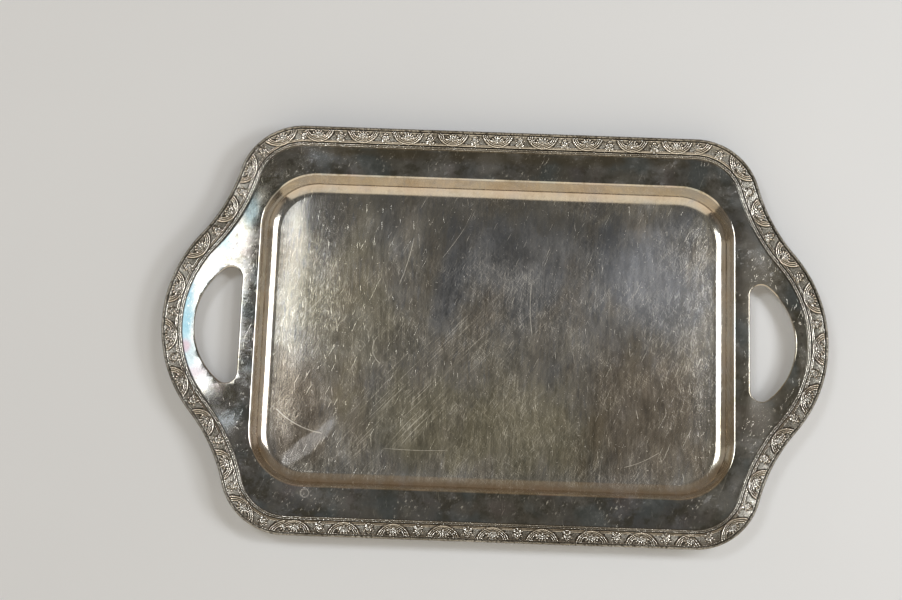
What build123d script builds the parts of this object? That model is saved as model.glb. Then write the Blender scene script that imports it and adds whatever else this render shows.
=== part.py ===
from build123d import *
import math
import os

os.makedirs("parts", exist_ok=True)

# Driving dimensions, in millimetres and degrees.
# The tray lies flat: X runs from handle to handle, Y from front to back, Z is up.
# The origin is the middle of the floor's underside.
LENGTH = 560.0  # over the two handle ends
WIDTH = 350.0  # over the two straight sides
HEIGHT = 25.5  # from the floor's underside to the top of the border
SHEET = 1.2  # plated copper sheet
WELL_DEPTH = 17.5  # from the rim's flat down to the floor's top

# Outline: straight side, corner, hollow neck, short straight, round handle end.
STRAIGHT_HALF = 168.0
CORNER_R = 55.5
NECK_R = 148.0
CORNER_END = 15.0  # direction of the outward normal where the corner meets the neck
NECK_END = 39.5  # direction of the outward normal where the neck meets the straight

# Well, measured at the shoulder where the rim turns down.
WELL_HALF_X = 203.0
WELL_HALF_Y = 135.0
WELL_CORNER_R = 48.0
SHOULDER_R = 2.4
WALL_SLOPE = 72.0  # of the straight wall, above the horizontal
CREASE_RISE = 3.0  # of the crease above the floor
CREASE_REACH = 9.5  # from the crease in to the flat floor

# Rim: it coves up over its outer part.
COVE_WIDTH = 18.0
COVE_RISE = 3.2

# Finger slot in each end: a straight inner side and a round outer side.
SLOT_INNER = 215.5
SLOT_OUTER = 253.5
SLOT_OUTER_R = 61.0
SLOT_CORNER_R = 9.3
LIP_DEPTH = 3.0  # from the rim's top down to the lip's lower edge
LIP_ROUND = 1.3

# Ornamental border on the rim's edge, as a plain section.
BORDER_WIDTH = 16.5
EDGE_BEAD_R = 1.1
HEM = 1.0  # how far the border hangs over the sheet's own edge
FIELD_HEIGHT = 2.3  # of the ornamental field above the rim
FIELD_START, FIELD_END = 2.4, 13.2
STEP_HEIGHT = 1.3  # of the plain inner moulding above the rim
STEP_SLANT = 0.1  # lean of the step from the field down to the moulding
SHELL = 0.6  # thickness of the struck strip

RIM_TOP = SHEET + WELL_DEPTH
COVE_R = (COVE_WIDTH**2 + COVE_RISE**2) / (2 * COVE_RISE)
UP = Vector(0, 0, 1)


def direction(angle):
    """Unit vector in the XY plane."""
    turn = math.radians(angle)
    return Vector(math.cos(turn), math.sin(turn), 0)


def straight(start, angle, length):
    """A straight stretch of an outline whose outward normal points along angle."""
    return {"start": start, "angle": angle, "length": length}


def bend(centre, radius, angle, turn):
    """A round stretch. It starts with its outward normal along angle; turn is negative in a hollow."""
    return {"centre": centre, "radius": radius, "angle": angle, "turn": turn}


def edge_of(stretch, inset):
    """The stretch's line or arc, moved in by inset, run anticlockwise round the tray."""
    angle = stretch["angle"]
    if "length" in stretch:
        start = stretch["start"] - direction(angle) * inset
        return Edge.make_line(start, start + direction(angle + 90) * stretch["length"])
    turn = stretch["turn"]
    side = math.copysign(1, turn)
    reach = side * stretch["radius"] - inset
    points = [stretch["centre"] + direction(angle + part * turn) * reach for part in (0, 0.5, 1)]
    return Edge.make_three_point_arc(*points)


def region(path, inset):
    """The flat region inside a closed path that is moved in by inset."""
    return Face(Wire([edge_of(stretch, inset) for stretch in path]))


def ring(path, section):
    """The solid that a section sweeps along a path. Its x is the distance in from the path."""
    pieces = []
    for stretch in path:
        angle = stretch["angle"]
        outward = direction(angle)
        start = edge_of(stretch, 0) @ 0
        plane = Plane(origin=start, x_dir=-outward, z_dir=direction(angle + 90))
        placed = plane * section
        if "length" in stretch:
            pieces.append(extrude(placed, amount=stretch["length"], dir=direction(angle + 90)))
        else:
            side = math.copysign(1, stretch["turn"])
            axis = Axis(stretch["centre"], UP * side)
            pieces.append(revolve(placed, axis, revolution_arc=abs(stretch["turn"])))
    return Part() + pieces


def mirrored_in_x_axis(path):
    """The path's mirror image across the X axis, still run anticlockwise."""
    result = []
    for stretch in reversed(path):
        end = edge_of(stretch, 0) @ 1
        if "length" in stretch:
            start = Vector(end.X, -end.Y, 0)
            result.append(straight(start, -stretch["angle"], stretch["length"]))
        else:
            centre = Vector(stretch["centre"].X, -stretch["centre"].Y, 0)
            start_angle = -(stretch["angle"] + stretch["turn"])
            result.append(bend(centre, stretch["radius"], start_angle, stretch["turn"]))
    return result


def end_path():
    """The right handle end, from the front straight side round to the back one."""
    corner_centre = Vector(STRAIGHT_HALF, WIDTH / 2 - CORNER_R, 0)
    corner_exit = corner_centre + direction(CORNER_END) * CORNER_R
    neck_centre = corner_exit + direction(CORNER_END) * NECK_R
    neck_exit = neck_centre - direction(NECK_END) * NECK_R
    slant = math.radians(NECK_END)
    end_r = (LENGTH / 2 - neck_exit.X - neck_exit.Y * math.tan(slant)) / (
        1 - math.cos(slant) - math.tan(slant) * math.sin(slant)
    )
    end_centre = Vector(LENGTH / 2 - end_r, 0, 0)
    slope_start = end_centre + direction(NECK_END) * end_r
    slope_length = (neck_exit - slope_start).length
    back_half = [
        straight(slope_start, NECK_END, slope_length),
        bend(neck_centre, NECK_R, NECK_END, CORNER_END - NECK_END),
        bend(corner_centre, CORNER_R, CORNER_END, 90 - CORNER_END),
    ]
    end_arc = bend(end_centre, end_r, -NECK_END, 2 * NECK_END)
    print(f"handle end radius {end_r:.1f}, short straight {slope_length:.1f}")
    return mirrored_in_x_axis(back_half) + [end_arc] + back_half


def turned_half_round(path):
    """The path turned by 180 degrees about the Z axis."""
    result = []
    for stretch in path:
        if "length" in stretch:
            result.append(straight(-stretch["start"], stretch["angle"] + 180, stretch["length"]))
        else:
            result.append(
                bend(-stretch["centre"], stretch["radius"], stretch["angle"] + 180, stretch["turn"])
            )
    return result


def rounded_rectangle(half_x, half_y, radius):
    """A closed path: the straight sides and round corners of a rectangle."""
    flat_x, flat_y = half_x - radius, half_y - radius
    return [
        straight(Vector(half_x, -flat_y, 0), 0, 2 * flat_y),
        bend(Vector(flat_x, flat_y, 0), radius, 0, 90),
        straight(Vector(flat_x, half_y, 0), 90, 2 * flat_x),
        bend(Vector(-flat_x, flat_y, 0), radius, 90, 90),
        straight(Vector(-half_x, flat_y, 0), 180, 2 * flat_y),
        bend(Vector(-flat_x, -flat_y, 0), radius, 180, 90),
        straight(Vector(-flat_x, -half_y, 0), 270, 2 * flat_x),
        bend(Vector(flat_x, -flat_y, 0), radius, 270, 90),
    ]


def rim_height(inset):
    """Height of the rim's top surface at a distance in from the outline."""
    run = COVE_WIDTH - inset
    return RIM_TOP + COVE_R - math.sqrt(COVE_R**2 - run**2)


def rim_arc(start, end, height=0.0, sheet=0.0):
    """The rim's top, or its underside with sheet, between two distances in from the outline."""
    radius = COVE_R + sheet
    points = []
    for inset in (start, (start + end) / 2, end):
        run = COVE_WIDTH - inset
        points.append((inset, RIM_TOP + COVE_R - math.sqrt(radius**2 - run**2) + height))
    return Edge.make_three_point_arc(*points)


def closed_section(edges):
    """A face from edges that meet end to end; straight edges close the gaps between them."""
    chain = []
    for index, edge in enumerate(edges):
        chain.append(edge)
        here, there = edge @ 1, edges[(index + 1) % len(edges)] @ 0
        if (here - there).length > 1e-6:
            chain.append(Edge.make_line(here, there))
    return Face(Wire(chain))


def cove_section():
    """The sheet of the rim's outer part, from its edge to where it lies flat."""
    return closed_section(
        [rim_arc(HEM, COVE_WIDTH), rim_arc(COVE_WIDTH, HEM, sheet=SHEET)]
    )


def around(centre, radius, first, last):
    """An arc in a section, from one direction to another."""
    points = [Vector(*centre) + direction(first + part * (last - first)) * radius for part in (0, 0.5, 1)]
    return Edge.make_three_point_arc(*points)


def wall_section():
    """The sheet of the well's wall: shoulder, straight wall, crease and the hollow above the floor."""
    slope = math.radians(WALL_SLOPE)
    shoulder = (0, RIM_TOP - SHOULDER_R)
    wall_start = Vector(*shoulder) + direction(90 - WALL_SLOPE) * SHOULDER_R
    crease_z = SHEET + CREASE_RISE
    crease_x = wall_start.X + (wall_start.Y - crease_z) / math.tan(slope)
    crease = (crease_x, crease_z)
    hollow_slope = 2 * math.degrees(math.atan2(CREASE_RISE, CREASE_REACH))
    hollow_r = CREASE_REACH / math.sin(math.radians(hollow_slope))
    hollow = (crease_x + CREASE_REACH, SHEET + hollow_r)
    section = closed_section(
        [
            around(shoulder, SHOULDER_R, 90, 90 - WALL_SLOPE),
            around(hollow, hollow_r, 270 - hollow_slope, 270),
            around(hollow, hollow_r + SHEET, 270, 270 - hollow_slope),
            around(crease, SHEET, 270 - hollow_slope, 270 - WALL_SLOPE),
            around(shoulder, SHOULDER_R - SHEET, 90 - WALL_SLOPE, 90),
        ]
    )
    return section, crease_x + CREASE_REACH


def slot_face(clearance=0.0):
    """The right finger slot's shape, grown on all sides by clearance."""
    inner = SLOT_INNER - clearance
    outer_r = SLOT_OUTER_R + clearance
    corner_r = SLOT_CORNER_R + clearance
    outer_centre = Vector(SLOT_OUTER - SLOT_OUTER_R, 0, 0)
    corner_x = inner + corner_r
    corner_y = math.sqrt((outer_r - corner_r) ** 2 - (corner_x - outer_centre.X) ** 2)
    meet = math.degrees(math.atan2(corner_y, corner_x - outer_centre.X))
    path = [
        bend(outer_centre, outer_r, -meet, 2 * meet),
        bend(Vector(corner_x, corner_y, 0), corner_r, meet, 180 - meet),
        straight(Vector(inner, corner_y, 0), 180, 2 * corner_y),
        bend(Vector(corner_x, -corner_y, 0), corner_r, 180, 180 - meet),
    ]
    return region(path, 0)


def tray_body(outline):
    """The drawn sheet with its two lipped finger slots."""
    well = rounded_rectangle(WELL_HALF_X, WELL_HALF_Y, WELL_CORNER_R)
    wall, wall_reach = wall_section()
    flat_rim = region(outline, COVE_WIDTH) - region(well, 0)
    flat_rim = extrude(Pos(0, 0, RIM_TOP - SHEET) * flat_rim, amount=SHEET, dir=UP)
    floor = extrude(region(well, wall_reach), amount=SHEET, dir=UP)
    sheet = ring(outline, cove_section()) + flat_rim + ring(well, wall) + floor
    collar_base = RIM_TOP - LIP_DEPTH
    collar_height = LIP_DEPTH - SHEET / 2
    collar = extrude(Pos(0, 0, collar_base) * slot_face(SHEET), amount=collar_height, dir=UP)
    opening = extrude(Pos(0, 0, RIM_TOP / 2) * slot_face(), amount=RIM_TOP, dir=UP)
    sheet = sheet + collar + mirror(collar, Plane.YZ) - opening - mirror(opening, Plane.YZ)
    return round_slot_edges(sheet)


def round_slot_edges(sheet):
    """Rounds the rim's top edge all the way round each finger slot."""
    margin = 0.2
    picked = []
    for edge in sheet.edges():
        box = edge.bounding_box()
        across = sorted((abs(box.min.X), abs(box.max.X)))
        in_slot = across[0] > SLOT_INNER - margin and across[1] < SLOT_OUTER + margin
        low_enough = max(abs(box.min.Y), abs(box.max.Y)) < SLOT_OUTER_R
        on_top = box.min.Z > RIM_TOP - margin
        if in_slot and low_enough and on_top:
            picked.append(edge)
    return fillet(picked, LIP_ROUND)


def border_section():
    """The struck strip: a thin shell that hems over the sheet's edge and is open below."""
    bead_centre = (EDGE_BEAD_R, HEIGHT - EDGE_BEAD_R)
    sheet_under = rim_height(HEM) - SHEET
    hem_foot = Edge.make_line((HEM, sheet_under), (0, sheet_under + HEM / 2))
    outside = [
        hem_foot,
        around(bead_centre, EDGE_BEAD_R, 180, 0),
        rim_arc(FIELD_START, FIELD_END, FIELD_HEIGHT),
        rim_arc(FIELD_END + STEP_SLANT, BORDER_WIDTH, STEP_HEIGHT),
        rim_arc(BORDER_WIDTH, HEM),
    ]
    return closed_section(outside) - fill_section()


def fill_section():
    """The hollow of the strip, filled with solder down to the rim."""
    start = 2 * EDGE_BEAD_R - SHELL
    end = BORDER_WIDTH - SHELL
    return closed_section(
        [
            rim_arc(FIELD_START, FIELD_END - SHELL, FIELD_HEIGHT - SHELL),
            rim_arc(FIELD_END - SHELL + STEP_SLANT, end, STEP_HEIGHT - SHELL),
            rim_arc(end, start),
        ]
    )


def save(node, solid):
    print(f"{node}: {solid.volume / 1000:.2f} cm3")
    export_step(solid, f"parts/{node}.step")


right_end = end_path()
left_end = turned_half_round(right_end)
back_side = [straight(Vector(STRAIGHT_HALF, WIDTH / 2, 0), 90, 2 * STRAIGHT_HALF)]
front_side = turned_half_round(back_side)

save("tray_body", tray_body(right_end + back_side + left_end + front_side))
sides = {"back": back_side, "front": front_side, "left": left_end, "right": right_end}
for side, path in sides.items():
    save(f"border_{side}", ring(path, border_section()))
    save(f"solder_{side}", ring(path, fill_section()))
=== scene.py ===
import cmath
import math

import bmesh
import bpy
import numpy as np
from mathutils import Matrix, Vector
from mathutils.geometry import delaunay_2d_cdt


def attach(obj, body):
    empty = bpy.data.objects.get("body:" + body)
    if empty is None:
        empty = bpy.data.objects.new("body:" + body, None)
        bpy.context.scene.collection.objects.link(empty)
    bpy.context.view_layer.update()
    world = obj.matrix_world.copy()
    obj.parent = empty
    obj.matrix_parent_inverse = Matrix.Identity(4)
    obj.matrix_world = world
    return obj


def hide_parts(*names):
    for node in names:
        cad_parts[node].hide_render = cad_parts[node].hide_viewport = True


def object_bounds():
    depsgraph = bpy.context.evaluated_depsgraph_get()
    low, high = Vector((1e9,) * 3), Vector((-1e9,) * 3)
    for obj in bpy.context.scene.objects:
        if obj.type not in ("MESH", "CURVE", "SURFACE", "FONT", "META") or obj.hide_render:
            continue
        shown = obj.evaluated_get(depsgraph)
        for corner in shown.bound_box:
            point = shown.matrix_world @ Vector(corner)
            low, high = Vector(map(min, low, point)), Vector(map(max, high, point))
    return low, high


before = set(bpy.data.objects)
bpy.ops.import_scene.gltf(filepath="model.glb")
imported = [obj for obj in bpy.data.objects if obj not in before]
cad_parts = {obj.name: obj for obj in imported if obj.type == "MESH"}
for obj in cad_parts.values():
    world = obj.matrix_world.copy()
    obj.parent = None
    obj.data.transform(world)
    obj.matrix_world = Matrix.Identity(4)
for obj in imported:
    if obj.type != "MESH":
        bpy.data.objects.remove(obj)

cad_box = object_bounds()
MM = 0.001

# The tray's dimensions, in millimetres and degrees, as in the CAD model.
LENGTH, WIDTH = 560.0, 350.0
HEIGHT = (cad_box[1][2] - cad_box[0][2]) / MM
SHEET = 1.2
RIM_TOP = 18.7
STRAIGHT_HALF = 168.0
CORNER_R, CORNER_END = 55.5, 15.0
NECK_R, NECK_END = 148.0, 39.5
WELL_HALF_X, WELL_HALF_Y, WELL_CORNER_R = 203.0, 135.0, 48.0
SHOULDER_R, WALL_SLOPE = 2.4, 72.0
CREASE_RISE, CREASE_REACH = 3.0, 9.5
COVE_WIDTH, COVE_RISE = 18.0, 3.2
COVE_R = (COVE_WIDTH**2 + COVE_RISE**2) / (2 * COVE_RISE)
SLOT_INNER, SLOT_OUTER, SLOT_OUTER_R, SLOT_CORNER_R = 215.5, 253.5, 61.0, 9.3
LIP_DEPTH, LIP_ROUND = 3.0, 1.3
BORDER_WIDTH, EDGE_BEAD_R, HEM = 16.5, 1.1, 1.0
FIELD_HEIGHT, FIELD_START, FIELD_END = 2.3, 2.4, 13.2
STEP_HEIGHT, STEP_SLANT, SHELL = 1.3, 0.1, 0.6

# How fine the meshes are: millimetres between points, and points on an arc.
RIM_STEP, WELL_STEP, SLOT_STEP, STRIP_STEP = 2.5, 3.0, 1.5, 0.45
RIM_GRID, FLOOR_GRID, UNDERSIDE_GRID = 6.0, 9.0, 12.0
COVE_POINTS, CREASE_POINTS, SHOULDER_POINTS, LIP_POINTS = 13, 13, 8, 7
FIELD_POINTS, MOULDING_POINTS, BEAD_POINTS = 38, 17, 9
UNDER_POINTS = (6, 4, 9)  # on the three arcs of the wall's underside
WELD = 1e-3  # millimetres between points that become one
SHEET_SHARP, STRIP_SHARP = 28.0, 60.0  # degrees from which an edge is left sharp


# ---------------------------------------------------------------- outlines, as complex numbers


def unit(angle):
    """The direction at an angle, in degrees from the X axis."""
    return cmath.exp(1j * math.radians(angle))


def straight(start, angle, length):
    """A straight stretch, run anticlockwise, whose outward normal points along angle."""
    return {"start": start, "angle": angle, "length": length}


def bend(centre, radius, angle, turn):
    """A round stretch; turn is negative where its centre lies outside."""
    return {"centre": centre, "radius": radius, "angle": angle, "turn": turn}


def last_point(stretch):
    """Where a stretch ends."""
    points, _ = sampled(stretch, 2)
    return points[-1]


def sampled(stretch, count):
    """Points and outward normals along one stretch."""
    part = np.linspace(0, 1, count)
    angle = stretch["angle"]
    if "length" in stretch:
        normals = np.full(count, unit(angle))
        return stretch["start"] + 1j * normals * stretch["length"] * part, normals
    normals = np.exp(1j * np.radians(angle + stretch["turn"] * part))
    return stretch["centre"] + math.copysign(stretch["radius"], stretch["turn"]) * normals, normals


def walk(path, step, closed):
    """Points and outward normals along a path, no further apart than step."""
    points, normals = [], []
    for stretch in path:
        length = stretch.get("length") or stretch["radius"] * math.radians(abs(stretch["turn"]))
        some_points, some_normals = sampled(stretch, max(2, math.ceil(length / step) + 1))
        points.append(some_points[:-1])
        normals.append(some_normals[:-1])
    if not closed:
        points.append(some_points[-1:])
        normals.append(some_normals[-1:])
    return np.concatenate(points), np.concatenate(normals)


def flipped(path):
    """The path's mirror image across the X axis, still run anticlockwise."""
    result = []
    for stretch in reversed(path):
        if "length" in stretch:
            start = last_point(stretch).conjugate()
            result.append(straight(start, -stretch["angle"], stretch["length"]))
        else:
            angle = -(stretch["angle"] + stretch["turn"])
            centre = stretch["centre"].conjugate()
            result.append(bend(centre, stretch["radius"], angle, stretch["turn"]))
    return result


def turned(path):
    """The path turned by 180 degrees about the middle."""
    result = []
    for stretch in path:
        moved = dict(stretch, angle=stretch["angle"] + 180)
        key = "start" if "length" in stretch else "centre"
        moved[key] = -stretch[key]
        result.append(moved)
    return result


def end_path():
    """The right handle end, from the front side round to the back one."""
    corner = complex(STRAIGHT_HALF, WIDTH / 2 - CORNER_R)
    neck = corner + unit(CORNER_END) * (CORNER_R + NECK_R)
    neck_exit = neck - unit(NECK_END) * NECK_R
    slant = math.radians(NECK_END)
    end_r = (LENGTH / 2 - neck_exit.real - neck_exit.imag * math.tan(slant)) / (
        1 - math.cos(slant) - math.tan(slant) * math.sin(slant)
    )
    end_centre = complex(LENGTH / 2 - end_r, 0)
    slope_start = end_centre + unit(NECK_END) * end_r
    back_half = [
        straight(slope_start, NECK_END, abs(neck_exit - slope_start)),
        bend(neck, NECK_R, NECK_END, CORNER_END - NECK_END),
        bend(corner, CORNER_R, CORNER_END, 90 - CORNER_END),
    ]
    return flipped(back_half) + [bend(end_centre, end_r, -NECK_END, 2 * NECK_END)] + back_half


def rounded_rectangle(half_x, half_y, radius):
    """A closed path of four straight sides and four round corners."""
    flat_x, flat_y = half_x - radius, half_y - radius
    half = [
        straight(complex(half_x, -flat_y), 0, 2 * flat_y),
        bend(complex(flat_x, flat_y), radius, 0, 90),
        straight(complex(flat_x, half_y), 90, 2 * flat_x),
        bend(complex(-flat_x, flat_y), radius, 90, 90),
    ]
    return half + turned(half)


def slot_path():
    """The right finger slot: round outer side, two corners, straight inner side."""
    centre = SLOT_OUTER - SLOT_OUTER_R
    corner_x = SLOT_INNER + SLOT_CORNER_R
    corner_y = math.sqrt((SLOT_OUTER_R - SLOT_CORNER_R) ** 2 - (corner_x - centre) ** 2)
    meet = math.degrees(math.atan2(corner_y, corner_x - centre))
    return [
        bend(complex(centre, 0), SLOT_OUTER_R, -meet, 2 * meet),
        bend(complex(corner_x, corner_y), SLOT_CORNER_R, meet, 180 - meet),
        straight(complex(SLOT_INNER, corner_y), 180, 2 * corner_y),
        bend(complex(corner_x, -corner_y), SLOT_CORNER_R, 180, 180 - meet),
    ]


RIGHT_END = end_path()
LEFT_END = turned(RIGHT_END)
BACK_SIDE = [straight(complex(STRAIGHT_HALF, WIDTH / 2), 90, 2 * STRAIGHT_HALF)]
FRONT_SIDE = turned(BACK_SIDE)
OUTLINE = RIGHT_END + BACK_SIDE + LEFT_END + FRONT_SIDE


# ---------------------------------------------------------------- mesh building


def rim_height(inset, sheet=0.0):
    """Height of the rim's top, or with sheet its underside, at a distance in from the outline."""
    run = np.clip(COVE_WIDTH - np.asarray(inset, float), 0, None)
    return RIM_TOP + COVE_R - np.sqrt((COVE_R + sheet) ** 2 - run**2)


def loop_at(points, heights):
    """A closed loop of 3D points from complex points and heights."""
    return np.column_stack([points.real, points.imag, np.broadcast_to(heights, points.shape)])


class Shape:
    """Vertices and faces, gathered patch by patch and welded where patches meet."""

    def __init__(self):
        self.vertices, self.faces, self.count = [], [], 0

    def add(self, vertices, faces):
        """One more patch, whose faces count its own vertices from 0."""
        self.vertices.append(vertices)
        self.faces.extend([[i + self.count for i in face] for face in faces])
        self.count += len(vertices)

    def loft(self, loops):
        """Quads between each closed loop and the next."""
        rows, columns = len(loops), len(loops[0])
        index = np.arange(rows * columns).reshape(rows, columns)
        after = np.roll(index, -1, axis=1)
        quads = np.stack([index[:-1], index[1:], after[1:], after[:-1]], axis=-1).reshape(-1, 4)
        self.add(np.concatenate(loops), quads.tolist())

    def fill(self, outer, holes, height, spacing, upward):
        """Triangles between an outer loop and its holes, with a grid of points between them."""
        clear_of_rings = 0.55 * spacing
        rings = [outer] + holes
        points = np.concatenate(rings)
        edges, first = [], 0
        for ring in rings:
            edges += [(first + i, first + (i + 1) % len(ring)) for i in range(len(ring))]
            first += len(ring)
        low, high = outer.min(axis=0), outer.max(axis=0)
        grid_x, grid_y = np.meshgrid(
            np.arange(low[0] + spacing / 2, high[0], spacing),
            np.arange(low[1] + spacing / 2, high[1], spacing),
        )
        grid = np.column_stack([grid_x.ravel(), grid_y.ravel()])
        grid = grid[inside(grid, outer)]
        for hole in holes:
            grid = grid[~inside(grid, hole)]
        gap = np.full(len(grid), np.inf)
        for ring in rings:
            for point in ring:
                gap = np.minimum(gap, np.hypot(*(grid - point).T))
        grid = grid[gap > clear_of_rings]
        everything = [Vector(p) for p in np.concatenate([points, grid])]
        placed, _, faces, _, _, _ = delaunay_2d_cdt(everything, edges, [], 0, 1e-7)
        placed, faces = np.array(placed), np.array(faces)
        middle = placed[faces].mean(axis=1)
        keep = inside(middle, outer)
        for hole in holes:
            keep &= ~inside(middle, hole)
        faces = faces[keep]
        if not upward:
            faces = faces[:, ::-1]
        self.add(np.column_stack([placed, height(placed)]), faces.tolist())

    def make(self, name, sharp_angle, weld=0.0):
        """The mesh object, in metres, with smooth faces and sharp edges past an angle."""
        mesh = bpy.data.meshes.new(name)
        mesh.from_pydata(np.concatenate(self.vertices) * MM, [], self.faces)
        work = bmesh.new()
        work.from_mesh(mesh)
        if weld:
            bmesh.ops.remove_doubles(work, verts=work.verts, dist=weld * MM)
        bmesh.ops.recalc_face_normals(work, faces=work.faces)
        work.to_mesh(mesh)
        work.free()
        mesh.shade_smooth()
        mesh.set_sharp_from_angle(angle=math.radians(sharp_angle))
        piece = bpy.data.objects.new(name, mesh)
        bpy.context.scene.collection.objects.link(piece)
        return piece


def inside(points, ring):
    """Which points lie inside a closed ring."""
    x, y = points[:, 0], points[:, 1]
    result = np.zeros(len(points), bool)
    for (ax, ay), (bx, by) in zip(ring, np.roll(ring, -1, axis=0)):
        crosses = (ay > y) != (by > y)
        if crosses.any():
            across = ax + (y - ay) * (bx - ax) / (by - ay if by != ay else 1)
            result ^= crosses & (x < across)
    return result


def arc_points(centre, radius, first, last, count):
    """Points (distance in, height) on an arc of a section."""
    turns = np.radians(np.linspace(first, last, count))
    return [(centre[0] + radius * math.cos(t), centre[1] + radius * math.sin(t)) for t in turns]


CREASE_POWER = 1.6  # the hollow from crease to floor flattens out with this power


def wall_profile():
    """(inset, height) along the wall's top and underside, from the shoulder to the floor."""
    slope = math.radians(WALL_SLOPE)
    shoulder = (0, RIM_TOP - SHOULDER_R)
    start = (SHOULDER_R * math.sin(slope), RIM_TOP - SHOULDER_R * (1 - math.cos(slope)))
    crease_z = SHEET + CREASE_RISE
    crease_x = start[0] + (start[1] - crease_z) / math.tan(slope)
    hollow_slope = 2 * math.degrees(math.atan2(CREASE_RISE, CREASE_REACH))
    hollow_r = CREASE_REACH / math.sin(math.radians(hollow_slope))
    hollow = (crease_x + CREASE_REACH, SHEET + hollow_r)
    top = arc_points(shoulder, SHOULDER_R, 90, 90 - WALL_SLOPE, SHOULDER_POINTS)
    for part in (0.25, 0.5, 0.75):
        across, down = part * (crease_x - start[0]), part * (crease_z - start[1])
        top.append((start[0] + across, start[1] + down))
    for part in np.linspace(0, 1, CREASE_POINTS):
        height = SHEET + CREASE_RISE * (1 - part) ** CREASE_POWER
        top.append((crease_x + part * CREASE_REACH, height))
    crease = (crease_x, crease_z)
    high, bent, low = UNDER_POINTS
    under = arc_points(shoulder, SHOULDER_R - SHEET, 90, 90 - WALL_SLOPE, high)
    under += arc_points(crease, SHEET, 270 - WALL_SLOPE, 270 - hollow_slope, bent)
    under += arc_points(hollow, hollow_r + SHEET, 270 - hollow_slope, 270, low)[1:]
    return top, under


def rings_of(points, normals, profile):
    """Loops of 3D points for each (inset, height) of a profile."""
    return [loop_at(points - normals * inset, height) for inset, height in profile]


def flat(points):
    """Complex points as rows of x and y."""
    return np.column_stack([points.real, points.imag])


def level(height):
    """The height of a flat patch, for each of its points."""
    return lambda points: np.full(len(points), float(height))


def tray_sheet():
    """The drawn sheet as one closed mesh with round shoulders, creases and slot lips."""
    shape = Shape()
    rim, rim_normals = walk(OUTLINE, RIM_STEP, True)
    well_path = rounded_rectangle(WELL_HALF_X, WELL_HALF_Y, WELL_CORNER_R)
    well, well_normals = walk(well_path, WELL_STEP, True)
    slot, slot_normals = walk(slot_path(), SLOT_STEP, True)

    cove = np.linspace(HEM, COVE_WIDTH, COVE_POINTS)
    shape.loft(rings_of(rim, rim_normals, [(e, rim_height(e)) for e in cove]))
    shape.loft(rings_of(rim, rim_normals, [(e, rim_height(e, SHEET)) for e in cove])[::-1])
    edge = [(HEM, rim_height(HEM, SHEET)), (HEM, rim_height(HEM))]
    shape.loft(rings_of(rim, rim_normals, edge))

    rim_ring = flat(rim - rim_normals * COVE_WIDTH)
    well_ring = flat(well)
    slot_rings = {}
    for grown in (LIP_ROUND, SHEET):
        right = slot + slot_normals * grown
        slot_rings[grown] = [flat(right), flat(-right)]

    top_holes = [well_ring] + slot_rings[LIP_ROUND]
    under_holes = [well_ring] + slot_rings[SHEET]
    shape.fill(rim_ring, top_holes, level(RIM_TOP), RIM_GRID, True)
    shape.fill(rim_ring, under_holes, level(RIM_TOP - SHEET), RIM_GRID, False)

    lip = arc_points((LIP_ROUND, RIM_TOP - LIP_ROUND), LIP_ROUND, 90, 180, LIP_POINTS)
    lip += [(0, RIM_TOP - LIP_DEPTH), (SHEET, RIM_TOP - LIP_DEPTH), (SHEET, RIM_TOP - SHEET)]
    for side in (1, -1):
        shape.loft([loop_at(side * (slot + slot_normals * grown), z) for grown, z in lip])

    top, under = wall_profile()
    shape.loft(rings_of(well, well_normals, top))
    shape.loft(rings_of(well, well_normals, under)[::-1])
    floor_ring = flat(well - well_normals * top[-1][0])
    shape.fill(floor_ring, [], level(SHEET), FLOOR_GRID, True)
    shape.fill(floor_ring, [], level(0), UNDERSIDE_GRID, False)
    piece = shape.make("tray_sheet", SHEET_SHARP, WELD)
    even = piece.modifiers.new("even_normals", "WEIGHTED_NORMAL")
    even.keep_sharp = True
    even.weight = 80
    return piece


# ---------------------------------------------------------------- struck ornament
# In the functions below, u is the distance along the strip from a motif's middle, and e the
# distance in from the outline, both in millimetres. Each gives the height of its relief.


def ridge(distance, half_width):
    """A rounded ridge's height, from 0 to 1."""
    return np.sqrt(np.clip(1 - (distance / half_width) ** 2, 0, None))


def bead(u, e, at_u, at_e, radius):
    """A half ball."""
    return radius * ridge(np.hypot(u - at_u, e - at_e), radius)


def leaf(u, e, at_u, at_e, angle, length, width):
    """A pointed leaf with a sunk rib, from its foot along angle (0 points to the outer edge)."""
    turn = math.radians(angle)
    along = (at_e - e) * math.cos(turn) + (u - at_u) * math.sin(turn)
    across = (e - at_e) * math.sin(turn) + (u - at_u) * math.cos(turn)
    part = np.clip(along / length, 0, 1)
    half = width * np.sin(math.pi * part**0.8) + 1e-6
    body = ridge(across, half) * ((along > 0) & (along < length))
    return body * 0.65 - 0.22 * np.exp(-((across / 0.22) ** 2)) * (body > 0)


LUNETTE_EDGE, LUNETTE_HALF, LUNETTE_REACH = 2.2, 12.6, 10.2
LUNETTE_POWER = 1.8  # 2 would make the arches round, and 1 pointed
ARCHES = ((1.0, 0.6, 0.85), (0.86, 0.5, 0.75), (0.73, 0.45, 0.65))  # size, half width, height
FAN_FOOT = 10.4  # where the petals start
PETAL_TURN, LAST_PETAL = 19.0, 4  # degrees between petals, and petals on each side of the middle
PETAL_LONG, BERRY_FAR, BERRY_R = 6.3, 7.1, 0.78
INSIDE_ARCHES, BERRY_INSIDE = 0.66, 0.64
FOOT_BERRIES = ((0, 6.6, 0.8), (-1.7, 7.6, 0.7), (1.7, 7.6, 0.7), (0, 8.6, 0.85))


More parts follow.
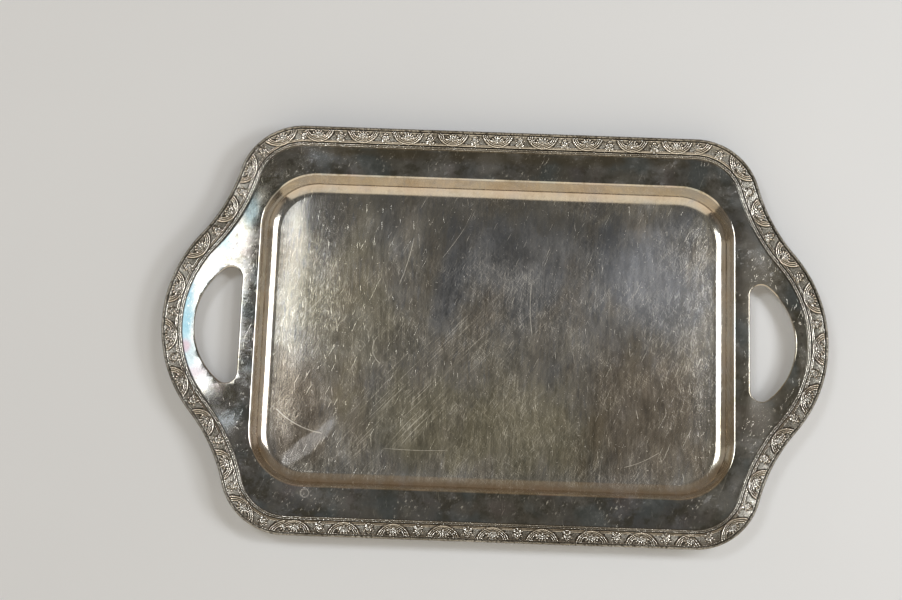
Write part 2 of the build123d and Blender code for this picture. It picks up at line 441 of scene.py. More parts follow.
def lunette(u, e):
    """Pointed triple arch, open to the edge, round a fan of petals tipped with berries."""
    across, inward = np.abs(u / LUNETTE_HALF), np.abs((e - LUNETTE_EDGE) / LUNETTE_REACH)
    run = (across**LUNETTE_POWER + inward**LUNETTE_POWER) ** (1 / LUNETTE_POWER)
    scale = LUNETTE_REACH + 1.2
    height = 0.0
    for size, half_width, tall in ARCHES:
        height = np.maximum(height, tall * ridge((run - size) * scale, half_width))
    reach = np.hypot(u, e - FAN_FOOT)
    turn = np.degrees(np.arctan2(u, FAN_FOOT - e))
    petal = np.clip(np.round(turn / PETAL_TURN), -LAST_PETAL, LAST_PETAL)
    off = np.radians(turn - petal * PETAL_TURN) * reach
    petal_long = PETAL_LONG - 0.1 * petal**2
    part = np.clip(reach / petal_long, 0, 1)
    half = 0.2 + 0.85 * np.sin(math.pi * part**1.3 * 0.85)
    body = ridge(off, half) * (reach < petal_long) * (run < INSIDE_ARCHES)
    rib = 0.28 * np.exp(-((off / 0.2) ** 2)) * (body > 0)
    height = np.maximum(height, 0.7 * body - rib)
    for index in range(-LAST_PETAL, LAST_PETAL + 1):
        angle = math.radians(index * PETAL_TURN)
        far = BERRY_FAR - 0.12 * index**2
        at_u, at_e = far * math.sin(angle), FAN_FOOT - far * math.cos(angle)
        out = math.hypot(at_u / LUNETTE_HALF, (at_e - LUNETTE_EDGE) / LUNETTE_REACH)
        if out < BERRY_INSIDE:
            height = np.maximum(height, bead(u, e, at_u, at_e, BERRY_R))
    for at_u, at_e, radius in FOOT_BERRIES:
        height = np.maximum(height, bead(u, e, at_u, at_e, radius))
    for angle in (-62, 62):
        height = np.maximum(height, leaf(u, e, 0, 12.9, angle, 4.2, 0.8))
    return np.maximum(height, bead(u, e, 0, 12.2, 0.85))


SPRAY_BERRIES = (
    (0, 9.2, 0.95), (-1.5, 9.9, 0.65), (1.5, 9.9, 0.65), (0, 4.3, 0.8), (-1.1, 5.0, 0.55),
    (1.1, 5.0, 0.55), (-3.6, 6.2, 0.6), (3.6, 6.2, 0.6), (0, 12.2, 0.6),
)


def spray(u, e):
    """The flower and its leaves that stand between two lunettes."""
    height = 0.5 * ridge(u, 0.4) * ((e > 4.2) & (e < 12.6))
    for angle in (-66, -33, 0, 33, 66):
        height = np.maximum(height, leaf(u, e, 0, 9.0, angle, 3.9, 1.05))
    for angle in (-125, -100, 100, 125):
        height = np.maximum(height, leaf(u, e, 0, 9.6, angle, 4.0, 0.9))
    for at_u, at_e, radius in SPRAY_BERRIES:
        height = np.maximum(height, bead(u, e, at_u, at_e, radius))
    return height


FIELD_LINES = ((11.3, 0.34), (12.4, 0.34), (2.8, 0.3))  # raised lines: distance in, half width


def ornament(along, e, pitch, first):
    """Relief above the field in millimetres, for a row of lunettes pitch apart."""
    u = (along - first + pitch / 2) % pitch - pitch / 2
    w = (along - first) % pitch - pitch / 2
    lines = sum(half * ridge(e - middle, half) for middle, half in FIELD_LINES)
    return np.maximum(np.maximum(lunette(u, e), spray(w, e)), lines)


def softened(values, spread, spacing):
    """The values blurred along both axes by spread millimetres."""
    for axis, gap in enumerate(spacing):
        reach = math.ceil(2.5 * spread / gap)
        weights = np.exp(-0.5 * (np.arange(-reach, reach + 1) * gap / spread) ** 2)
        padding = [(reach, reach) if i == axis else (0, 0) for i in range(2)]
        padded = np.pad(values, padding, mode="edge")
        length = values.shape[axis]
        values = sum(w * np.take(padded, range(i, i + length), axis=axis)
                     for i, w in enumerate(weights / weights.sum()))
    return values


MOULDING_BEADS = (14.1, 15.5)  # middles of the inner moulding's two round ribs
RIB_HALF, RIB_HEIGHT = 0.62, 0.34


def cove_points(insets, rise):
    """(inset, height) at a rise above the rim's top."""
    return [(e, float(rim_height(e)) + rise) for e in insets]


def strip_profile():
    """(inset, height) round the strip's section: edge bead, field, moulding, hollow back."""
    bead_centre = (EDGE_BEAD_R, HEIGHT - EDGE_BEAD_R)
    foot = float(rim_height(HEM, SHEET))
    outer = [(0, foot + HEM / 2), (0, foot + 1.6)]
    outer += arc_points(bead_centre, EDGE_BEAD_R, 180, 0, BEAD_POINTS)
    field = cove_points(np.linspace(FIELD_START, FIELD_END, FIELD_POINTS), FIELD_HEIGHT)
    insets = np.linspace(FIELD_END + STEP_SLANT, BORDER_WIDTH - 0.05, MOULDING_POINTS)
    moulding = []
    for e, height in cove_points(insets, STEP_HEIGHT):
        ribs = sum(float(ridge(e - middle, RIB_HALF)) for middle in MOULDING_BEADS)
        moulding.append((e, height + RIB_HEIGHT * (ribs - 1)))
    inner_face = BORDER_WIDTH - SHELL
    step_face = FIELD_END - SHELL
    back = cove_points((BORDER_WIDTH, inner_face), 0)
    back += cove_points(np.linspace(inner_face, step_face + STEP_SLANT, 4), STEP_HEIGHT - SHELL)
    back += cove_points(np.linspace(step_face, FIELD_START, 8), FIELD_HEIGHT - SHELL)
    back += cove_points((2 * EDGE_BEAD_R - SHELL, HEM), 0)
    return outer, field, moulding, back + [(HEM, foot)]


PITCH_INSET = 8.0  # distance in from the outline at which the motifs' spacing is measured
RELIEF_FULL = 0.9  # height of the tallest relief above the ground of the field
FIELD_SINK = 0.25  # how far the ground of the relief lies below the plain CAD field
FIELD_FADE = (0.5, 0.4)  # over which the relief fades out at the field's two sides
HOLLOW_SPREAD = 0.9  # a point lower than what is this near is in a hollow
# Darkening of the outer bead, the field's step corners and the moulding's grooves: partly oxide,
# partly painted shade.
EDGE_SUNK, CORNER_SUNK, GROOVE_SUNK = 0.06, 0.4, 0.45


def border_strip(name, path, pitch, first):
    """One struck strip as a closed shell with its relief in the mesh.

    Its sunk attribute says how deep a point lies in the relief, for the dark oxide; on the outer
    bead, the step corners and the moulding's grooves it is partly painted shade.
    """
    points, normals = walk(path, STRIP_STEP, False)
    middle = points - normals * PITCH_INSET
    along = np.concatenate([[0], np.cumsum(np.abs(np.diff(middle)))])
    along -= along[-1] / 2
    outer, field, moulding, back = strip_profile()
    insets = np.array([e for e, _ in field])
    relief = ornament(along[:, None], insets[None, :], pitch, first)
    relief *= np.clip((insets - FIELD_START) / FIELD_FADE[0], 0, 1)
    relief *= np.clip((FIELD_END - insets) / FIELD_FADE[1], 0, 1)
    profile = outer + field + moulding + back
    rows = np.zeros((len(profile), len(points), 3))
    for index, (inset, height) in enumerate(profile):
        rows[index] = loop_at(points - normals * inset, height)
    start, stop = len(outer), len(outer) + len(field)
    rows[start:stop, :, 2] += relief.T - FIELD_SINK

    around = softened(relief, HOLLOW_SPREAD, (STRIP_STEP, insets[1] - insets[0]))
    sunk = np.zeros((len(profile), len(points)))
    sunk[start:stop] = (around - relief).T / RELIEF_FULL
    # Painted shade, with some oxide: the outer bead, the field's step corners, the moulding's
    # grooves.
    sunk[:start] = EDGE_SUNK
    sunk[[start - 1, start, stop - 1, stop]] = CORNER_SUNK
    for index, (e, _) in enumerate(moulding):
        away = min(abs(e - rib) for rib in MOULDING_BEADS)
        sunk[stop + index] = GROOVE_SUNK * (away - 0.35)
    shape = Shape()
    shape.loft(list(np.transpose(rows, (1, 0, 2))))
    last = len(profile) * (len(points) - 1)
    shape.faces.append(list(range(len(profile))))
    shape.faces.append([last + i for i in range(len(profile))][::-1])
    piece = shape.make(name, STRIP_SHARP)
    data = piece.data.attributes.new("sunk", "FLOAT", "POINT").data
    data.foreach_set("value", np.ascontiguousarray(sunk.T).ravel())
    return piece


# ---------------------------------------------------------------- materials


EDGE_RAGGED = 2.4  # how strongly noise moves the edge of a blotch


class Nodes:
    """A node tree, built step by step."""

    def __init__(self, tree):
        self.tree = tree

    def node(self, kind, inputs=(), **settings):
        """A new node, with its inputs fed by index or name."""
        made = self.tree.nodes.new(kind)
        for key, value in settings.items():
            setattr(made, key, value)
        for key, value in dict(inputs).items():
            self.feed(made.inputs[key], value)
        return made

    def feed(self, socket, value):
        """Links a socket to an output, or sets it to a constant."""
        if isinstance(value, bpy.types.NodeSocket):
            self.tree.links.new(value, socket)
        elif value is not None:
            socket.default_value = value

    def math(self, operation, a, b=None, clamp=False):
        inputs = {0: a} if b is None else {0: a, 1: b}
        made = self.node("ShaderNodeMath", inputs, operation=operation, use_clamp=clamp)
        return made.outputs[0]

    def vector(self, operation, a, b=None, output=0):
        inputs = {0: a} if b is None else {0: a, 1: b}
        return self.node("ShaderNodeVectorMath", inputs, operation=operation).outputs[output]

    def add(self, *values):
        total = values[0]
        for value in values[1:]:
            total = self.math("ADD", total, value)
        return total

    def times(self, *values):
        total = values[0]
        for value in values[1:]:
            total = self.math("MULTIPLY", total, value)
        return total

    def steps(self, value, low, high, start=0.0, end=1.0):
        """A smooth change from start to end while value goes from low to high."""
        inputs = {"Value": value, "From Min": low, "From Max": high, "To Min": start, "To Max": end}
        kind = {"interpolation_type": "SMOOTHSTEP"}
        return self.node("ShaderNodeMapRange", inputs, **kind).outputs["Result"]

    def mix(self, factor, a, b):
        """The colour a where factor is 0, and b where it is 1."""
        made = self.node("ShaderNodeMix", data_type="RGBA", clamp_factor=True)
        for index, value in ((0, factor), (6, a), (7, b)):
            self.feed(made.inputs[index], (*value, 1) if isinstance(value, tuple) else value)
        return made.outputs[2]


class Paint(Nodes):
    """A material in the object's own coordinates, in metres."""

    def __init__(self, name):
        self.material = bpy.data.materials.new(name)
        self.material.use_nodes = True
        super().__init__(self.material.node_tree)
        self.shader = self.tree.nodes["Principled BSDF"]
        self.place = self.node("ShaderNodeTexCoord").outputs["Object"]

    def noise(self, size, detail=3.0, roughness=0.55, stretch=(1, 1, 1), turn=0.0, shift=0.0,
              start=None):
        """Soft noise whose patches are about size metres across."""
        place = self.moved(stretch, turn, shift, start)
        inputs = {"Vector": place, "Scale": 1 / size, "Detail": detail, "Roughness": roughness}
        return self.node("ShaderNodeTexNoise", inputs).outputs["Fac"]

    def moved(self, stretch=(1, 1, 1), turn=0.0, shift=0.0, start=None):
        """The place turned about Z, stretched, and shifted so that each use is different."""
        inputs = {"Vector": start or self.place, "Location": (shift, shift * 0.7, shift * 0.3),
                  "Rotation": (0, 0, math.radians(turn))}
        turned_place = self.node("ShaderNodeMapping", inputs, vector_type="TEXTURE").outputs[0]
        if stretch == (1, 1, 1):
            return turned_place
        inputs = {"Vector": turned_place, "Scale": tuple(1 / s for s in stretch)}
        return self.node("ShaderNodeMapping", inputs).outputs[0]

    def wandered(self, reach, size, shift=0.0):
        """The place pushed about by up to reach metres, so that straight marks bend a little."""
        inputs = {"Vector": self.moved(shift=shift), "Scale": 1 / size, "Detail": 1.0}
        push = self.node("ShaderNodeTexNoise", inputs).outputs["Color"]
        push = self.vector("SUBTRACT", push, (0.5, 0.5, 0.5))
        push = self.vector("MULTIPLY", push, (reach, reach, 0))
        return self.vector("ADD", self.place, push)

    def hairlines(self, width, length, turn, shift, low, high, strength, start):
        """Fine scratches along one direction: strength on a scratch, 0 off it."""
        fine = self.noise(1.0, 1.0, 0.5, (width, length, 1), turn, shift, start)
        return self.times(self.steps(fine, low, high), strength)

    def blotch(self, centre, reach, turn=0.0, edge=None, spread=0.35):
        """1 in the middle of an oval spot, 0 outside it; edge is noise that makes it uneven."""
        inputs = {"Vector": self.place, "Location": (*centre, 0),
                  "Rotation": (0, 0, math.radians(turn)), "Scale": (*reach, 1)}
        place = self.node("ShaderNodeMapping", inputs, vector_type="TEXTURE").outputs[0]
        place = self.vector("MULTIPLY", place, (1, 1, 0))
        far = self.vector("LENGTH", place, output="Value")
        if edge:
            ragged = self.times(self.math("SUBTRACT", edge, 0.5), EDGE_RAGGED)
            far = self.add(far, ragged)
        return self.steps(far, 1 + spread, 1 - spread)

    def arc_mark(self, centre, radius, width, first, last):
        """A thin arc between two directions, in degrees from X."""
        off = self.vector("SUBTRACT", self.place, (*centre, 0))
        level = self.vector("MULTIPLY", off, (1, 1, 0))
        far = self.vector("LENGTH", level, output="Value")
        away = self.math("ABSOLUTE", self.math("SUBTRACT", far, radius))
        line = self.steps(away, width, width * 0.4)
        if last - first >= 360:
            return line
        middle = math.radians((first + last) / 2)
        direction = (math.cos(middle), math.sin(middle), 0)
        toward = self.vector("DOT_PRODUCT", level, direction, output="Value")
        least = math.cos(math.radians((last - first) / 2))
        fade = 0.06 * (1 - least) + 0.002
        part = self.math("DIVIDE", toward, radius)
        return self.times(line, self.steps(part, least, least + fade))

    def bump(self, height, distance, strength=1.0, below=None):
        """A normal from a height of up to distance metres, on top of the one below."""
        inputs = {"Height": height, "Distance": distance, "Strength": strength}
        made = self.node("ShaderNodeBump", inputs)
        if below:
            self.feed(made.inputs["Normal"], below)
        return made.outputs[0]

    def finish(self, colour, roughness, normal=None, metallic=1.0):
        """The material, with its shader fed."""
        self.feed(self.shader.inputs["Base Color"], colour)
        self.feed(self.shader.inputs["Roughness"], roughness)
        self.feed(self.shader.inputs["Metallic"], metallic)
        if normal:
            self.feed(self.shader.inputs["Normal"], normal)
        return self.material


# Colours of the plate and its tarnish.
SILVER = (0.69, 0.665, 0.62)
WORN_SILVER = (0.85, 0.81, 0.70)
STRAW = (0.64, 0.58, 0.40)
BROWN = (0.40, 0.31, 0.215)
SLATE = (0.46, 0.49, 0.55)
# The blue-grey and khaki below are painted reflection on the floor of the well: the room it mirrors
# is blue-grey in its back half and khaki in its front half.
BLUE_GREY_REFLECTION = (0.46, 0.50, 0.58)
KHAKI_REFLECTION = (0.60, 0.55, 0.385)
DARK_OLIVE = (0.38, 0.35, 0.27)
CYAN_FILM = (0.58, 0.70, 0.74)
PINK_FILM = (0.72, 0.58, 0.56)
# Painted reflection: a warm tint on the well's walls, for the tan that they mirror.
WALL_REFLECTION_TINT = (0.68, 0.60, 0.51)
# Dark oxide in the relief's hollows, and painted shade along the border's steps and grooves.
OXIDE_AND_SHADE = (0.05, 0.043, 0.033)

# Tarnish on the floor of the well, brown and straw, and painted reflection, khaki on the front half
# and blue-grey on the back half: middle, half size and turn, tint, strength.
FLOOR_TARNISH_AND_REFLECTION = (
    ((-0.165, -0.070), (0.030, 0.045), 0.0, BROWN, 0.7),
    ((-0.118, -0.060), (0.014, 0.045), 12.0, BROWN, 0.5),
    ((0.020, -0.080), (0.070, 0.034), 0.0, KHAKI_REFLECTION, 0.85),
    ((0.130, -0.060), (0.050, 0.060), 0.0, BROWN, 0.6),
    ((-0.060, -0.075), (0.055, 0.034), 0.0, KHAKI_REFLECTION, 0.65),
    ((-0.040, 0.040), (0.014, 0.045), -6.0, BLUE_GREY_REFLECTION, 0.7),
    ((0.030, 0.060), (0.060, 0.045), 0.0, BLUE_GREY_REFLECTION, 0.6),
    ((0.135, 0.055), (0.045, 0.055), 0.0, BLUE_GREY_REFLECTION, 0.75),
    ((-0.120, 0.020), (0.040, 0.060), 8.0, STRAW, 0.5),
)

# Coloured patches on the rim: middle, half size, tint. All but the last two are thin films of
# tarnish; the last two are warm bands along the back rim beside the border.
RIM_FILMS = (
    ((-0.2625, 0.012), (0.009, 0.044), (0.22, 0.285, 0.305)),
    ((-0.2640, 0.028), (0.006, 0.012), (0.13, 0.24, 0.28)),
    ((-0.2600, -0.002), (0.005, 0.012), (0.13, 0.24, 0.28)),
    ((-0.2570, -0.032), (0.010, 0.016), (0.24, 0.29, 0.30)),
    ((-0.2600, -0.020), (0.004, 0.005), (0.30, 0.22, 0.24)),
    ((-0.2500, -0.042), (0.012, 0.006), (0.34, 0.29, 0.30)),
    ((-0.2330, 0.080), (0.008, 0.016), (0.30, 0.385, 0.40)),
    ((-0.2120, 0.102), (0.008, 0.014), (0.28, 0.37, 0.39)),
    ((0.2280, 0.020), (0.018, 0.090), (0.62, 0.555, 0.42)),
    # Warm bands along the back rim beside the border.
    ((0.0300, 0.155), (0.120, 0.006), (0.50, 0.43, 0.30)),
    ((-0.1300, 0.155), (0.040, 0.005), (0.50, 0.42, 0.28)),
)

# The second value is how strongly the walls take that warm tint of painted reflection.
FILM_STRENGTH, WALL_REFLECTION_AMOUNT = 0.85, 0.7


def plate_colour(paint, floor, off_floor, wall):
    """Straw, brown and slate tarnish, blue and pink films; painted reflection: floor patches, warm
    walls.
    """
    broad = paint.noise(0.15)
    patches = paint.noise(0.04, 4.0, 0.6, stretch=(0.7, 1.6, 1), turn=-8.0, shift=0.31)
    cool = paint.noise(0.05, 3.0, 0.5, stretch=(0.7, 1.6, 1), shift=0.77)
    film = paint.noise(0.035, 3.0, 0.5, shift=1.33)
    marbling = paint.noise(0.016, 6.0, 0.7, shift=7.7)
    bent = paint.wandered(0.016, 0.06, 2.4)
    streaks = paint.noise(0.004, 4.0, 0.65, (0.6, 3.4, 1), -4.0, 9.1, bent)
    colour = paint.mix(paint.steps(broad, 0.35, 0.7, 0.0, 0.5), SILVER, STRAW)
    colour = paint.mix(paint.steps(patches, 0.42, 0.75, 0.0, 0.45), colour, BROWN)
    colour = paint.mix(paint.steps(cool, 0.42, 0.75, 0.0, 0.55), colour, SLATE)
    # Each line: noise, thresholds, where, strength, tint.
    layers = (
        (marbling, 0.47, 0.60, off_floor, 0.85, DARK_OLIVE),
        (marbling, 0.46, 0.30, off_floor, 0.8, WORN_SILVER),
        (streaks, 0.52, 0.70, floor, 0.5, SLATE),
        (streaks, 0.48, 0.30, floor, 0.45, WORN_SILVER),
        (film, 0.50, 0.66, off_floor, 0.45, CYAN_FILM),
        (film, 0.46, 0.34, off_floor, 0.35, PINK_FILM),
    )
    for noise, low, high, where, strength, tint in layers:
        layer = paint.times(paint.steps(noise, low, high), where, strength)
        colour = paint.mix(layer, colour, tint)
    # Floor patches: brown and straw tarnish, and khaki and blue-grey painted reflection.
    for centre, reach, turn, tint, strength in FLOOR_TARNISH_AND_REFLECTION:
        spot = paint.times(paint.blotch(centre, reach, turn, patches, 0.5), floor, strength)
        colour = paint.mix(spot, colour, tint)
    for centre, reach, tint in RIM_FILMS:
        spot = paint.blotch(centre, reach, 0.0, film, 0.6)
        colour = paint.mix(paint.times(spot, off_floor, FILM_STRENGTH), colour, tint)
    # Painted reflection: the walls tinted warm.
    return paint.mix(paint.times(wall, WALL_REFLECTION_AMOUNT), colour, WALL_REFLECTION_TINT)


# Families of scratches: width, length, direction, shift, thresholds, strength. The tangled ones
# bend more, each family in its own way, and the bold ones are few.
FINE_SCRATCHES = (
    (0.00055, 0.011, 5.0, 0.20, 0.53, 0.70, 0.32),
    (0.00055, 0.045, -3.0, 0.93, 0.56, 0.72, 0.34),
    (0.00055, 0.014, -18.0, 3.70, 0.58, 0.72, 0.42),
    (0.00050, 0.012, 58.0, 2.90, 0.60, 0.72, 0.35),
)
TANGLED_SCRATCHES = (
    (0.00070, 0.007, 33.0, 6.30, 0.58, 0.70, 0.36),
    (0.00060, 0.009, -28.0, 7.10, 0.58, 0.70, 0.40),
)
TANGLES = (3.3, 5.9)
SLANTED_SCRATCHES = (0.00060, 0.040, -43.0, 1.71, 0.56, 0.70, 1.0)
BOLD_SCRATCHES = (
    (0.00060, 0.014, 7.0, 4.40, 0.735, 0.775, 1.0),
    (0.00060, 0.022, -24.0, 5.20, 0.745, 0.785, 1.0),
)

# Marks that stand out, curved scratches and one ring: centre, radius, half width, first and last
# direction.
SCRATCH_ARCS = (
    ((-0.1330, -0.0180), 0.070, 0.0005, 225.0, 262.0),
    ((-0.0870, -0.0130), 0.016, 0.0004, 140.0, 235.0),
    ((0.0900, -0.0200), 0.090, 0.0003, 284.0, 305.0),
    ((-0.2500, 0.1100), 0.180, 0.0004, 338.0, 352.0),
    ((0.1900, 0.0300), 0.160, 0.0004, 172.0, 190.0),
    ((-0.0630, 0.2810), 0.380, 0.0003, 265.5, 274.5),
    ((-0.2450, 0.2200), 0.250, 0.0003, 322.0, 331.0),
    ((-0.1530, -0.1395), 0.0034, 0.0008, 0.0, 360.0),
)


def plate_scratches(paint, floor, off_floor):
    """Fine scratches from years of use, in several directions, and a few that stand out."""
    bent = paint.wandered(0.010, 0.09)
    fine = [paint.hairlines(*family, bent) for family in FINE_SCRATCHES]
    for family, shift in zip(TANGLED_SCRATCHES, TANGLES):
        fine.append(paint.hairlines(*family, paint.wandered(0.020, 0.05, shift)))
    bundle = paint.blotch((-0.072, -0.055), (0.028, 0.085), -43.0, None, 0.5)
    slanted = paint.hairlines(*SLANTED_SCRATCHES, bent)
    fine.append(paint.times(slanted, paint.add(0.25, paint.times(bundle, 0.5))))
    wear = paint.steps(paint.noise(0.045, shift=1.9), 0.34, 0.66, 0.35, 1.0)
    far_side = paint.blotch((-0.02, 0.125), (0.160, 0.055), 0.0, None, 0.6)
    wear = paint.times(wear, paint.steps(far_side, 0.0, 1.0, 1.0, 0.5))
    fine = paint.times(paint.add(*fine), wear, paint.steps(floor, 0.0, 1.0, 0.15, 1.0))
    marks = [paint.hairlines(*family, bent) for family in BOLD_SCRATCHES]
    marks.append(paint.steps(paint.noise(0.0016, 1.0, 0.5, shift=8.3), 0.74, 0.78))
    marks += [paint.arc_mark(*mark) for mark in SCRATCH_ARCS]
    marks = paint.times(paint.add(*marks), paint.steps(floor, 0.0, 1.0, 0.5, 0.9))
    flecks = paint.noise(0.0026, 3.0, 0.6, stretch=(0.6, 1.6, 1), turn=-30.0, shift=6.6)
    some = paint.steps(paint.noise(0.03, 2.0, 0.5, shift=7.2), 0.46, 0.60)
    flecks = paint.times(paint.steps(flecks, 0.60, 0.70), some, off_floor)
    return paint.math("MINIMUM", paint.add(fine, marks, flecks), 1.0)


# Pale dull spots on floor and rim: middle, half size and turn, strength.
PALE_SPOTS = (
    ((0.132, 0.055), (0.026, 0.034), 0.0, 0.45),
    ((0.020, 0.052), (0.034, 0.012), 0.0, 0.25),
    ((0.222, 0.040), (0.012, 0.080), 0.0, 0.5),
    ((0.222, -0.070), (0.010, 0.040), -10.0, 0.4),
    ((-0.155, 0.150), (0.016, 0.008), 0.0, 0.5),
    ((-0.010, 0.148), (0.012, 0.007), 20.0, 0.5),
    ((-0.140, -0.142), (0.030, 0.007), -12.0, 0.4),
    ((-0.225, -0.085), (0.012, 0.012), 0.0, 0.5),
    ((0.200, -0.130), (0.020, 0.010), 40.0, 0.4),
)


def plate_smudges(paint, floor):
    """Pale hazy spots and finger marks, most of them on the rim."""
    soft = paint.noise(0.022, 4.0, 0.6, shift=0.53)
    dabs = paint.noise(0.010, 3.0, 0.55, stretch=(0.7, 1.3, 1), turn=-50.0, shift=2.2)
    dots = paint.noise(0.0030, 4.0, 0.6, stretch=(1.4, 0.8, 1), turn=20.0, shift=6.1)
    cloud = paint.steps(soft, 0.46, 0.74)
    dabs = paint.times(paint.steps(dabs, 0.62, 0.70), paint.steps(soft, 0.45, 0.6))
    dots = paint.times(paint.steps(dots, 0.61, 0.70), paint.steps(soft, 0.40, 0.58))
    swipe = paint.blotch((-0.152, -0.094), (0.006, 0.030), -47.0, soft, 0.3)
    amount = paint.add(paint.times(cloud, 0.6), paint.times(dabs, 0.6), paint.times(dots, 0.7))
    on_rim = paint.steps(floor, 0.0, 1.0, 1.0, 0.35)
    amount = paint.add(paint.times(amount, on_rim), paint.times(swipe, floor, 0.7))
    for centre, reach, turn, strength in PALE_SPOTS:
        spot = paint.blotch(centre, reach, turn, soft, 0.6)
        amount = paint.add(amount, paint.times(spot, strength))
    return paint.math("MINIMUM", amount, 1.0)


# Where the floor of the well is worn dull: middle, half size, strength.
WORN_SPOTS = (
    ((-0.172, 0.030), (0.020, 0.060), 0.40),
    ((0.172, 0.030), (0.018, 0.060), 0.35),
    ((0.125, 0.050), (0.032, 0.035), 0.35),
)

# Heights, in metres, that part the plate into floor, wall and rim. A second height is where the
# change is complete.
FLOOR_BELOW = (0.004, 0.004 / 3)
WALL_ABOVE = (0.0018, 0.004)
WALL_BELOW = (0.0186, 0.0172)
CROWN_OUTER, CROWN_INNER, CROWN_HEIGHT = 0.190, 0.160, 0.00034
WAVE_HEIGHT, GRAIN_HEIGHT, SCRATCH_HEIGHT = 0.0007, 0.000014, 0.00002


def plate_material():
    """Silver plate after years of use: tarnish, haze, finger marks, scratches, painted reflection.
    """
    paint = Paint("silver_plate")
    across, _, height = paint.node("ShaderNodeSeparateXYZ", {0: paint.place}).outputs
    floor = paint.steps(height, *FLOOR_BELOW)
    off_floor = paint.math("SUBTRACT", 1.0, floor)
    wall = paint.times(paint.steps(height, *WALL_ABOVE), paint.steps(height, *WALL_BELOW))
    scratches = plate_scratches(paint, floor, off_floor)
    smudges = plate_smudges(paint, floor)

    cloud = paint.noise(0.05, 3.0, 0.5, stretch=(0.8, 1.5, 1), shift=4.7)
    bent = paint.wandered(0.016, 0.06, 2.4)
    streaks = paint.noise(0.008, 3.0, 0.6, (0.55, 2.6, 1), 3.0, 3.1, bent)
    haze = [paint.steps(noise, 0.3, 0.7, 0.0, 0.5) for noise in (cloud, streaks)]
    far_side = paint.blotch((-0.02, 0.125), (0.170, 0.050), 0.0, cloud, 0.7)
    haze = [paint.times(paint.add(*haze), paint.steps(far_side, 0.0, 1.0, 1.0, 0.25))]
    for centre, reach, strength in WORN_SPOTS:
        haze.append(paint.times(paint.blotch(centre, reach, 0.0, cloud, 0.9), strength))
    haze = paint.times(paint.add(*haze), floor)

    colour = plate_colour(paint, floor, off_floor, wall)
    colour = paint.mix(paint.times(smudges, 0.5), colour, SLATE)
    colour = paint.mix(paint.times(scratches, 0.6), colour, WORN_SILVER)
    roughness = paint.add(paint.steps(floor, 0.0, 1.0, 0.06, 0.09), paint.times(haze, 0.07),
                          paint.times(smudges, 0.11), paint.times(scratches, 0.11))
    dulled = paint.add(paint.times(haze, 0.175), paint.times(smudges, 0.16),
                       paint.times(scratches, 0.28))
    metallic = paint.math("SUBTRACT", 1.0, dulled, clamp=True)

    waves = paint.noise(0.09, 1.0, 0.4, shift=0.4)
    crown = paint.steps(paint.math("ABSOLUTE", across), CROWN_OUTER, CROWN_INNER)
    grain = paint.noise(0.0008, 2.0, 0.6, stretch=(1, 18, 1), turn=3.0)
    normal = paint.bump(waves, WAVE_HEIGHT)
    normal = paint.bump(paint.times(crown, floor), CROWN_HEIGHT, 1.0, normal)
    normal = paint.bump(paint.times(grain, floor), GRAIN_HEIGHT, 0.5, normal)
    normal = paint.bump(scratches, SCRATCH_HEIGHT, 0.4, normal)
    return paint.finish(colour, roughness, normal, metallic)


# Colours of the struck border: two patinas, and the bright worn tops of the relief.
PALE_PATINA, DARK_PATINA, BRIGHT_TOP = (0.53, 0.51, 0.455), (0.30, 0.28, 0.235), (0.96, 0.935, 0.87)
PIT_HEIGHT = 0.00025


def struck_material():
    """Struck silver: bright on high relief, oxide round its foot, painted shade at steps and
    grooves.
    """
    paint = Paint("struck_silver")
    sunk = paint.node("ShaderNodeAttribute", attribute_name="sunk").outputs["Fac"]
    fine = paint.noise(0.0018, 4.0, 0.65)
    broad = paint.noise(0.03, 3.0, 0.5)
    depth = paint.add(sunk, paint.times(paint.math("SUBTRACT", fine, 0.5), 0.5))
    colour = paint.mix(paint.steps(broad, 0.35, 0.65), PALE_PATINA, DARK_PATINA)
    # Oxide in the hollows, and painted shade at the steps and grooves.
    colour = paint.mix(paint.steps(depth, 0.02, 0.13), colour, OXIDE_AND_SHADE)
    colour = paint.mix(paint.steps(depth, -0.03, -0.20), colour, BRIGHT_TOP)
    roughness = paint.add(paint.steps(depth, -0.3, 0.2, 0.06, 0.32), paint.times(fine, 0.08))
    metallic = paint.steps(depth, 0.2, -0.1, 0.85, 1.0)
    return paint.finish(colour, roughness, paint.bump(fine, PIT_HEIGHT, 0.8), metallic)


SOLDER_DARK, SOLDER_PALE = (0.30, 0.30, 0.32), (0.46, 0.46, 0.47)


def solder_material():
    """Dull grey soft solder with a grainy skin."""
    paint = Paint("soft_solder")
    grain = paint.noise(0.002, 4.0, 0.6)
    colour = paint.mix(grain, SOLDER_DARK, SOLDER_PALE)
    roughness = paint.steps(grain, 0.2, 0.8, 0.45, 0.7)
    return paint.finish(colour, roughness, paint.bump(grain, 0.0002))


# ---------------------------------------------------------------- the pieces

plate, struck, solder = plate_material(), struck_material(), solder_material()

sheet = tray_sheet()
sheet.data.materials.append(plate)
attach(sheet, "root")
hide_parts("tray_body")

# Each strip's path, its spacing of lunettes and the place of one of them from its middle, in
# millimetres.
STRIPS = {
    "back": (BACK_SIDE, 38.6, 2.7),
    "front": (FRONT_SIDE, 40.7, 3.0),
    "right": (RIGHT_END, 42.6, -4.0),
    "left": (LEFT_END, 39.9, 11.0),
}
for side, (path, pitch, first) in STRIPS.items():
    strip = border_strip(f"struck_border_{side}", path, pitch, first)
    strip.data.materials.append(struck)
    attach(strip, "root")
    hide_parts(f"border_{side}")
    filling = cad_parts[f"solder_{side}"]
    filling.data.materials.clear()
    filling.data.materials.append(solder)

# ---------------------------------------------------------------- floor, lights, camera


GROUND_DARK, GROUND_PALE = (0.785, 0.815, 0.850), (0.825, 0.855, 0.890)
GROUND_SIZE = 8  # metres


